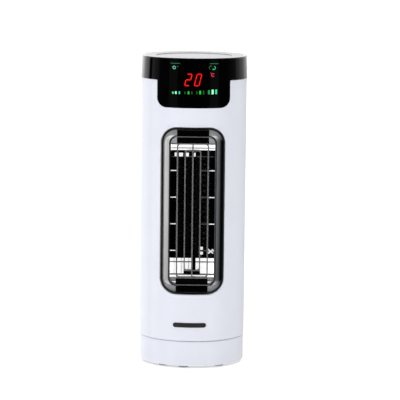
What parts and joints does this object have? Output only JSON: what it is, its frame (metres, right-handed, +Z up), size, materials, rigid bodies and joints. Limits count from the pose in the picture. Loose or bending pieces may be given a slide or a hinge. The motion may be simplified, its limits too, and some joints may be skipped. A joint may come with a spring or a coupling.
{
  "type": "ceramic tower heater",
  "caption": "Upright round fan heater that swings on a low base, with a framed front outlet behind nested bars, a glossy display collar and a pull-off rear filter panel.",
  "frame": {"origin": "on the floor at the middle of the round base", "axes": "+Z up along the swing axis, -Y the way the warm air blows, +X to the right seen from the front"},
  "size_m": [0.162, 0.162, 0.467],
  "materials": {
    "shell_white": "satin moulded white",
    "cap_white": "satin moulded light grey white",
    "gloss_black": "polished black, smoked over the display",
    "bezel_black": "polished black with a dark mirror sheen on the flanks",
    "grille_black": "semi gloss black",
    "duct_white": "plain heat resistant white",
    "plastic_grey": "moulded grey",
    "plastic_natural": "unpigmented slippery plastic",
    "plastic_dark": "moulded black",
    "rubber_black": "soft matt",
    "screw_steel": "zinc plated",
    "motor_steel": "pressed and laminated steel",
    "winding_red": "enamelled copper",
    "bearing_brass": "sintered",
    "fin_aluminium": "rolled",
    "ceramic_pale": "unglazed",
    "board_green": "solder resist over glass fibre",
    "plate_grey": "thin dark badge, blank",
    "mesh_grey": "open grid",
    "key_grey": "soft touch"
  },
  "bodies": {
    "base": {"base_shell": "shell_white", "base_cover": "plastic_grey", "feet": "rubber_black", "base_screws": "screw_steel", "glide_ring": "plastic_natural", "swing_gear": "plastic_natural", "gear_screws": "screw_steel", "tip_switch_housing": "plastic_natural", "tip_microswitch": "plastic_dark", "tip_spring": "screw_steel", "cord_gland": "plastic_dark"},
    "tower": {"turntable": "plastic_grey", "turntable_screws": "screw_steel", "swing_motor": "motor_steel", "swing_motor_screws": "screw_steel", "front_shell": "shell_white", "rear_shell": "shell_white", "shell_screws": "screw_steel", "nameplate": "plate_grey", "top_collar": "gloss_black", "top_cap": "cap_white", "key_board": "board_green", "key_switches": "plastic_dark", "display_board": "board_green", "led_display": "plastic_dark", "outlet_bezel": "bezel_black", "outlet_grille": "grille_black", "air_duct": "duct_white", "heater_combs": "plastic_dark", "heater_leads": "ceramic_pale", "heater_terminals": "ceramic_pale", "ptc_fins": "fin_aluminium", "ptc_elements": "fin_aluminium", "thermal_cutout": "plastic_dark", "fan_scroll": "duct_white", "motor_stator": "motor_steel", "motor_coil": "winding_red", "motor_can": "motor_steel", "motor_bracket": "motor_steel", "motor_screws": "screw_steel", "fan_bearing": "bearing_brass", "power_board": "board_green", "board_parts": "plastic_dark", "handle_cup": "shell_white", "rocker_housing": "plastic_dark"},
    "drive_pinion": {"swing_pinion": "plastic_natural"},
    "fan": {"fan_impeller": "plastic_grey", "fan_shaft": "screw_steel", "motor_rotor": "motor_steel"},
    "plunger": {"tip_plunger": "plastic_dark"},
    "switch_lever": {"tip_switch_lever": "screw_steel"},
    "rocker": {"rocker_key": "gloss_black"},
    "filter": {"filter_cover": "shell_white", "filter_mesh": "mesh_grey"},
    "button_power": {"key_power": "key_grey"},
    "button_mode": {"key_mode": "key_grey"},
    "button_minus": {"key_minus": "key_grey"},
    "button_plus": {"key_plus": "key_grey"},
    "button_swing": {"key_swing": "key_grey"}
  },
  "joints": [
    {"name": "oscillation", "type": "hinge", "parent": "base", "child": "tower", "pos_m": [0, 0, 0.0418], "axis": [0, 0, 1], "range_deg": [-35, 35]},
    {"name": "pinion_spin", "type": "hinge", "parent": "tower", "child": "drive_pinion", "pos_m": [0, 0.036, 0.05], "axis": [0, 0, 1], "range_deg": [-176, 176]},
    {"name": "fan_spin", "type": "hinge", "parent": "tower", "child": "fan", "pos_m": [0, 0.02, 0.24], "axis": [0, 0, 1], "continuous": true},
    {"name": "plunger_travel", "type": "slide", "parent": "base", "child": "plunger", "axis": [0, 0, 1], "range_m": [-0.004, 0.0005], "stiffness_N_per_m": 200, "springref_m": -0.008, "deforming": ["tip_spring"]},
    {"name": "lever_swing", "type": "hinge", "parent": "base", "child": "switch_lever", "pos_m": [0.006, -0.064, 0.025], "axis": [0, 1, 0], "range_deg": [-14.5, 2.5]},
    {"name": "rocker_tilt", "type": "hinge", "parent": "tower", "child": "rocker", "pos_m": [0, 0.0735, 0.096], "axis": [1, 0, 0], "range_deg": [0, 20]},
    {"name": "filter_slide", "type": "slide", "parent": "tower", "child": "filter", "axis": [0, 1, 0], "range_m": [0, 0.035]},
    {"name": "press_power", "type": "slide", "parent": "tower", "child": "button_power", "axis": [0, 0, -1], "range_m": [0, 0.0007], "stiffness_N_per_m": 1500, "springref_m": -0.0005},
    {"name": "press_mode", "type": "slide", "parent": "tower", "child": "button_mode", "axis": [0, 0, -1], "range_m": [0, 0.0007], "stiffness_N_per_m": 1500, "springref_m": -0.0005},
    {"name": "press_minus", "type": "slide", "parent": "tower", "child": "button_minus", "axis": [0, 0, -1], "range_m": [0, 0.0007], "stiffness_N_per_m": 1500, "springref_m": -0.0005},
    {"name": "press_plus", "type": "slide", "parent": "tower", "child": "button_plus", "axis": [0, 0, -1], "range_m": [0, 0.0007], "stiffness_N_per_m": 1500, "springref_m": -0.0005},
    {"name": "press_swing", "type": "slide", "parent": "tower", "child": "button_swing", "axis": [0, 0, -1], "range_m": [0, 0.0007], "stiffness_N_per_m": 1500, "springref_m": -0.0005}
  ],
  "couplings": [
    {"joint": "pinion_spin", "follows": "oscillation", "ratio": 5},
    {"joint": "lever_swing", "follows": "plunger_travel", "rad_per_m": 59}
  ]
}
